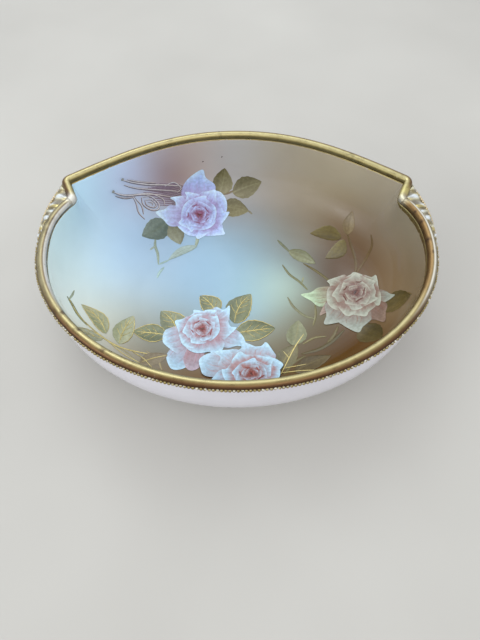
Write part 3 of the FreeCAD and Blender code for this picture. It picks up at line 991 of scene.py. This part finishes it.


# The gilding's tone across the rim, from its inner foot over the crest to its outer foot, with
# painted
# light in it: at the front and the back, a painted highlight on the crest and painted shade down
# the outer face and in its foot; at the left end, a white painted highlight on the inner slope; and
# at the right end, a white painted highlight just outside the crest, over a brown inner slope that
# is partly a painted reflection of a wooden table. Each stop is a point of the section, counted
# from its inner foot, and the tone there.

RIM_TONES_AND_PAINTED_LIGHT = (
    (0, (140, 122, 82)), (3, (150, 134, 90)), (5, (176, 164, 114)), (7, (206, 196, 150)),
    (9, (194, 184, 138)), (11, (158, 140, 96)), (12.5, (118, 90, 58)), (15, (98, 68, 46)),
    (18, (84, 58, 42)), (21, (60, 40, 30)),
)
LEFT_TONES_AND_HIGHLIGHT = (
    (0, (112, 104, 90)), (1.5, (150, 148, 146)), (3, (226, 228, 236)), (6, (218, 220, 226)),
    (7.5, (134, 116, 86)), (9, (160, 150, 118)), (12, (166, 158, 126)), (15, (132, 118, 88)),
    (17, (196, 190, 172)), (19, (116, 96, 72)), (21, (78, 62, 46)),
)
RIGHT_TONES_AND_HIGHLIGHT = (
    (0, (118, 92, 56)), (5, (128, 100, 62)), (8, (146, 118, 78)), (10.5, (176, 154, 114)),
    (11.5, (232, 228, 216)), (13, (186, 180, 162)), (16, (164, 158, 142)), (18, (110, 96, 76)),
    (21, (74, 60, 46)),
)

# The dark spots where the gilding has gone: x, y and how far each spreads.

WORN_SPOTS = (
    (85.6, 9.5, 0.6), (86.4, -1.5, 0.9), (83.8, 15.5, 0.35), (86.9, -9, 0.4), (-84.6, 11, 0.8),
    (-83.4, 14.5, 0.3), (-86.2, 2, 0.4), (-71, -41, 0.9), (-63, -49, 0.6), (-52, -58.5, 0.7),
)


def rim_tones_and_light(points):
    """The tone of the gilding, with its painted highlights and painted shade, and where a painted
    highlight turns it white, at every point of a rim.
    """
    row = np.arange(len(points)) % SECTION_POINTS
    across, deep = points[:, 0], points[:, 1]

    def laid(stops):
        places = [stop for stop, _ in stops]
        channels = zip(*(tone for _, tone in stops))
        return np.stack([np.interp(row, places, channel) for channel in channels], 1)

    ends = rising(np.abs(across), 66, 14) * falling(deep, 24, 4)
    ends *= rising(deep, -50, 25)
    tones_and_shading = mixed(laid(RIM_TONES_AND_PAINTED_LIGHT), laid(LEFT_TONES_AND_HIGHLIGHT), ends * (across < 0))
    tones_and_shading = mixed(tones_and_shading, laid(RIGHT_TONES_AND_HIGHLIGHT), ends * (across > 0))
    tones_and_shading = mixed(tones_and_shading, (134, 112, 70), rising(deep, 26, 4) * (row >= 15))
    # a painted highlight on the rounded corner of each notch
    knob_highlight = np.exp(-((np.abs(across) - 79.0) ** 2 + (deep - 24.5) ** 2) / 7)
    patch = np.exp(-((across - 82.5) ** 2 + (deep - 29) ** 2) / 16)
    tones_and_shading = mixed(tones_and_shading, (236, 226, 150), patch * 0.8)
    for x, y, size in WORN_SPOTS:
        near = np.exp(-((across - x) ** 2 + (deep - y) ** 2) / size)
        tones_and_shading = mixed(tones_and_shading, (58, 42, 34), near * 0.85)
    # the white painted highlight along the crest at each end, inside it on the left and just
    # outside it on the right
    white = ends * np.where(across < 0, (row >= 2) & (row <= 6), (row == 11) | (row == 12))
    knob_highlight *= np.where(across < 0, 1.2, 0.5)
    return tones_and_shading, np.clip(np.maximum(knob_highlight, white * 0.8), 0, 1)


def mirror_run(run):
    """A run of the outline that starts at the middle, with its left half put before it."""
    return [np.vstack([rows[:0:-1] * FLIP, rows]) for rows in run]


class DISH_OT_rims(bpy.types.Operator):
    """Sweep the rolled rim round the front and round the back, with the step at each ear"""

    bl_idname = "dish.rims"
    bl_label = "Rims"

    def execute(self, context):
        look = context.scene.dish_look
        material = gilt_finish(look, "burnished_gilt", 0.66, 0.78, 260, laid="tone")
        front = mirror_run(np.vstack([ahead, rear[:1]]) for ahead, rear in zip(FRONT, REAR))
        back = mirror_run(rear[::-1] for rear in REAR)
        for node, run in (("front_rim", front), ("back_rim", back)):
            rings = [rim_section(point, normal) for point, normal in zip(*run)]
            rim = drawn_through(node + "_gilt", rings, "face")
            # the rim's tone carries painted highlights and painted shade; bare marks where a
            # painted highlight turns the gilding white
            tones_and_shading, bare = rim_tones_and_light(points_of(rim))
            give_colours(rim, "tone", linear(tones_and_shading))
            give_values(rim, "bare", bare)
            finish_piece(rim, material, "gilt", node)
        return {"FINISHED"}


class DISH_OT_flowers(bpy.types.Operator):
    """Paint the blooms, leaves and stems inside the dish"""

    bl_idname = "dish.flowers"
    bl_label = "Painted flowers"

    def execute(self, context):
        material = paint_finish()
        for number, spray in enumerate(("back", "right", "front")):
            greenery = Painting(100 + number)
            for places, width, colour in STEMS[spray]:
                greenery.stroke(places, width * 1.3, colour, np.multiply(colour, 1.08))
            for base, tip, width, dark, light, vein, bend in LEAVES[spray]:
                greenery.leaf(base, tip, width, dark, light, vein, bend)
            for place in SPECKS[spray]:
                greenery.dab(place, 0.9, 0.55, 30, (70, 56, 50))
            greenery.finish(spray + "_leaves", material)
            blooms = Painting(200 + number, greenery.layer)
            for heart, outer, size, edge, shade, core in BLOOMS[spray]:
                blooms.rose(heart, outer, size, edge, shade, core)
            blooms.finish(spray + "_blooms", material)
        return {"FINISHED"}


class DISH_OT_gilt_lines(bpy.types.Operator):
    """Draw the gilt lines over the leaves and the raised tracery beside the back bloom"""

    bl_idname = "dish.gilt_lines"
    bl_label = "Gilt lines"

    def execute(self, context):
        look = context.scene.dish_look
        lines = Painting(300, layer=GILT_LAYER, step=0)
        drawn = list(GILT_LINES)
        along, reach = np.linspace(0.04, 0.97, 12), np.linspace(0, 0.22, 4)
        for number, (*place, _, _, _, bend) in enumerate(LEAVES["front"][:GILDED_LEAVES]):
            edges = [(along, np.full(12, side), 0.42) for side in (-0.96, 0.96)[number % 2:]]
            veins = [(at + reach, side * reach * 3, 0.28)
                     for at in (0.25, 0.45, 0.62) for side in (-1, 1)]
            for up, across, width in (*edges, (along * 0.9, np.zeros(12), 0.45), *veins):
                drawn.append((leaf_places(*place, bend, up, across), width))
        for places, width in drawn:
            lines.stroke(places, width, GILT_START, GILT_END, lift=0.10, taper=0.5)
        gilt = gilt_finish(look, "drawn_gilt", 0.66, 0.80, 500, laid="paint")
        lines.finish("gilt_lines", gilt, "gilt")
        tracery = Painting(301, step=0)
        for i in range(13):
            y = 54 + i * 0.95
            start = -60 + 3.5 * abs(i - 6) ** 0.7
            places = (start, y - 0.6), (start + 10, y + 0.6), (-38, y + 0.8), (-31, y + 0.2)
            tracery.stroke(places, 0.9, (128, 112, 130), (96, 76, 88))
        tracery.layer = 2
        for places, width in TRACERY:
            tracery.stroke(places, width + 0.5, (134, 132, 144), (108, 96, 104))
        # a lighter, narrower copy of each raised line, shifted towards the back: a painted
        # highlight along its top
        tracery.layer = 4
        for places, width in TRACERY:
            highlight_places = [(x + 0.12, y + 0.22) for x, y in places]
            tracery.stroke(highlight_places, width * 0.75, (216, 218, 226), (200, 190, 186), lift=0.18)
        tracery.step = 1
        for x, y in ((-73.2, 60.3), (-76.4, 52.2)):
            tracery.dab((x, y), 1.9, 1.5, 20, (150, 152, 148))
        tracery.finish("raised_tracery", paint_finish())
        return {"FINISHED"}


# The closed handles: a shelf that fills the notch beside each ear, moulded in relief. Each place
# is (y, where the shelf leaves the rim, how far out it reaches).

SHELF = (
    (-19, 86.3, 86.5), (-12, 88.1, 89.0), (-4, 89.1, 91.2), (4, 89.1, 92.3), (12, 88.0, 92.6),
    (18, 85.9, 92.2), (22, 83.7, 91.5), (25, 81.9, 91.0), (30.7, 83.6, 89.5), (35, 85.6, 87.8),
    (38, 85.9, 86.2),
)
SHELF_ROWS = 150


def shelf_section(y, near, far):
    """The right handle's section at one y: points, and how far across the relief each one is."""
    wide = far - near
    depth = math.sqrt(max(0.02, 1 - ((y - 9.5) / 29) ** 2))
    corners = [
        (near - 1.0, 46.4), (near - 0.2, 47.7), (near + 0.3 * wide, 48.3),
        (near + 0.68 * wide, 47.9), (far - 0.16 * wide, 47.0), (far, 45.0),
        (far - 0.05 * wide, 42.0), (near + 0.6 * wide, 37.5), (near + 0.1 * wide, 33.5),
        (near - 1.2, 31.0),
    ]
    front = open_curve(corners, 56)
    back = np.stack([np.full(5, near - 1.4), np.linspace(32.0, 45.5, 5)], 1)
    ring = np.vstack([front, back])
    ring[:, 1] = np.where(ring[:, 1] < 47, 47 - (47 - ring[:, 1]) * depth, ring[:, 1])
    return ring, np.concatenate([np.linspace(0, 1, 56), np.full(5, -1.0)])


def shelf_relief(y, across):
    """Curling leaves and veins: the height of the relief, in millimetres."""
    lean = y / 4.9 - across * 1.9 + 0.25 * np.sin(y * 0.35)
    leaf = (0.5 + 0.5 * np.cos(2 * math.pi * lean)) ** 1.4
    vein = 0.5 + 0.5 * np.cos(2 * math.pi * (3.0 * lean + 2.2 * across))
    cross = 0.5 + 0.5 * np.cos(2 * math.pi * (across * 5.5 + y * 0.05))
    window = rising(across, 0.06, 0.08) * falling(across, 0.86, 0.2)
    ends = rising(y, -15, 8) * falling(y, 38, 3)
    return window * ends * (0.52 * leaf * (0.55 + 0.45 * vein) + 0.16 * cross - 0.34)


def bead_row(places, radius):
    """Round beads at the given places, as points and faces."""
    bpy.ops.mesh.primitive_uv_sphere_add(segments=8, ring_count=6, radius=1.0)
    ball = bpy.context.object
    shape = points_of(ball) * MM
    sides = [tuple(face.vertices) for face in ball.data.polygons]
    bpy.data.objects.remove(ball)
    points = [shape * radius + place for place in places]
    faces = [tuple(i * len(shape) + v for v in side) for i in range(len(places)) for side in sides]
    return np.concatenate(points), faces


class DISH_OT_handles(bpy.types.Operator):
    """Model the two closed handles, with their relief and the beads on their outer edge"""

    bl_idname = "dish.handles"
    bl_label = "Closed handles"

    def execute(self, context):
        material = relief_finish()
        ys, near, far = (np.array(column, float) for column in zip(*SHELF))
        rows = np.linspace(ys[0], ys[-1], SHELF_ROWS)
        places = open_curve(np.stack([ys, near, far], 1), 400)
        near = np.interp(rows, places[:, 0], places[:, 1])
        far = np.interp(rows, places[:, 0], places[:, 2])
        rings, tones_and_shading, gilt = [], [], []
        for y, a, b in zip(rows, near, far):
            ring, across = shelf_section(y, a, b)
            ahead = np.gradient(ring, axis=0)
            ahead /= np.linalg.norm(ahead, axis=1)[:, None] + 1e-9
            rise = np.where(across >= 0, shelf_relief(y, across), 0) * min(1.0, (b - a) / 2.5)
            ring = ring + np.stack([-ahead[:, 1], ahead[:, 0]], 1) * rise[:, None]
            rings.append(np.column_stack([ring[:, 0], np.full(len(ring), y), ring[:, 1]]))
            # painted shade: the tone darkens where the relief sinks into its hollows and lightens
            # on its ridges
            high = rising(rise, -0.30, 0.6)
            patches = np.sin(y * 0.9 + across * 9) * np.cos(y * 0.37 - across * 5)
            gold = np.clip(0.5 + 0.9 * patches, 0, 1)
            gold = np.maximum(gold, falling(across, 0.14, 0.05)) * (across >= 0)
            gold *= falling(across, 0.82, 0.2)
            body = mixed((214, 222, 230), (204, 188, 128), gold)
            tone = mixed((112, 104, 88), body, 0.15 + 1.3 * high)
            tones_and_shading.append(mixed(tone, (220, 218, 225), rising(across, 0.68, 0.2)))
            gilt.append(gold)
        beads_at = np.arange(-3.0, 35.5, 1.55)
        reach = np.interp(beads_at, rows, far)
        bead_places = np.column_stack([reach - 0.9, beads_at, np.full(len(reach), 46.6)])
        beads, bead_faces = bead_row(bead_places, 0.7)
        for side, node in ((1, "right_handle"), (-1, "left_handle")):
            flip = np.array([side, 1.0, 1.0])
            # the sections run from the front to the back, and the left one is turned round
            turned = [ring[::side] * flip for ring in rings]
            shelf = drawn_through(node + "_relief", turned, "face")
            colours = np.concatenate([tone[::side] for tone in tones_and_shading])
            give_colours(shelf, "tone", linear(colours))
            give_values(shelf, "gilt", np.concatenate([share[::side] for share in gilt]))
            finish_piece(shelf, material, "gilt", node)
            row = new_piece(node + "_beads", beads * flip, [face[::side] for face in bead_faces])
            give_colours(row, "tone", linear(np.tile((214, 196, 160), (len(beads), 1))))
            give_values(row, "gilt", np.full(len(beads), 0.7))
            finish_piece(row, material, "gilt_beads")
        return {"FINISHED"}


class DISH_OT_cad_finishes(bpy.types.Operator):
    """Glaze the foot and gild the beads"""

    bl_idname = "dish.cad_finishes"
    bl_label = "Foot and beads"

    def execute(self, context):
        look = context.scene.dish_look
        finishes = {
            "foot_ring": porcelain_finish(look),
            "front_beads": gilt_finish(look, "bead_gilt", 0.48, 0.66, 300),
        }
        for node, material in finishes.items():
            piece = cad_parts[node]
            piece.data.materials.clear()
            piece.data.materials.append(material)
        return {"FINISHED"}


# The floor, lights and camera


# Each light: its name, place, size across, power and colour. Each is a nest of disks, each disk
# with its share of the size and of the power, so that it is brighter towards its middle.

LIGHTS = (
    ("window", (-0.25, 0.95, 1.25), 1.6, 8.5, (0.90, 0.97, 1.0)),
    ("side", (-1.2, -0.5, 0.9), 1.4, 6.5, (0.92, 0.97, 1.0)),
    ("overhead", (0.3, -0.9, 1.5), 2.0, 8, (1.0, 0.97, 0.93)),
)
DISKS = ((1.0, 0.45), (0.75, 0.27), (0.5, 0.18), (0.28, 0.10))
SKY_COLOUR, SKY_STRENGTH = (0.86, 0.88, 0.90, 1), 1.02
CAMERA_PLACE, CAMERA_TILT, CAMERA_LENS = (0.0014, -0.1479, 0.215), 32, 27.17


def soft_light(name, place, size, power, colour):
    """A round soft light that looks at the dish."""
    for part, (share, strength) in enumerate(DISKS):
        data = bpy.data.lights.new(f"{name}_{part}", "AREA")
        data.shape = "DISK"
        data.size = size * share
        data.energy = power * strength
        data.color = colour
        light = bpy.data.objects.new(data.name, data)
        bpy.context.collection.objects.link(light)
        light.location = Vector(place) * (1 - 0.002 * part)
        light.rotation_euler = (-Vector(place)).to_track_quat("-Z", "Y").to_euler()


class DISH_OT_stage(bpy.types.Operator):
    """Lay the floor, and set the soft lights and the camera"""

    bl_idname = "dish.stage"
    bl_label = "Stage"

    def execute(self, context):
        deselect()
        bpy.ops.mesh.primitive_plane_add(size=6.0, location=(0, 0, 0))
        floor = bpy.context.object
        floor.name = floor.data.name = "floor"
        floor.data.materials.append(floor_finish(context.scene.dish_look))
        for light in LIGHTS:
            soft_light(*light)
        world = bpy.data.worlds.new("studio")
        world.use_nodes = True
        background = world.node_tree.nodes["Background"]
        background.inputs["Color"].default_value = SKY_COLOUR
        background.inputs["Strength"].default_value = SKY_STRENGTH
        context.scene.world = world
        context.scene.view_settings.view_transform = "Standard"
        data = bpy.data.cameras.new("camera")
        data.lens = CAMERA_LENS
        data.clip_start = 0.01
        camera = bpy.data.objects.new("camera", data)
        bpy.context.collection.objects.link(camera)
        camera.location = CAMERA_PLACE
        camera.rotation_euler = (math.radians(CAMERA_TILT), 0, 0)
        context.scene.camera = camera
        return {"FINISHED"}


OPERATORS = (
    DISH_OT_bowl, DISH_OT_rims, DISH_OT_flowers, DISH_OT_gilt_lines, DISH_OT_handles,
    DISH_OT_cad_finishes, DISH_OT_stage,
)


class DISH_PT_panel(bpy.types.Panel):
    """The dish's pieces in the order they are made"""

    bl_label = "Butter Dish"
    bl_idname = "DISH_PT_panel"
    bl_space_type = "VIEW_3D"
    bl_region_type = "UI"
    bl_category = "Dish"

    def draw(self, context):
        for group in (context.scene.dish_look, context.scene.dish_sizes):
            for name in group.__annotations__:
                self.layout.prop(group, name)
        for operator in OPERATORS:
            self.layout.operator(operator.bl_idname)


CLASSES = (DishLook, DishSizes, *OPERATORS, DISH_PT_panel)


def register():
    for item in CLASSES:
        bpy.utils.register_class(item)
    bpy.types.Scene.dish_look = bpy.props.PointerProperty(type=DishLook)
    bpy.types.Scene.dish_sizes = bpy.props.PointerProperty(type=DishSizes)


def unregister():
    del bpy.types.Scene.dish_look
    del bpy.types.Scene.dish_sizes
    for item in reversed(CLASSES):
        bpy.utils.unregister_class(item)


def main():
    register()
    for operator in OPERATORS:
        group, name = operator.bl_idname.split(".")
        getattr(getattr(bpy.ops, group), name)()


if __name__ == "__main__":
    main()
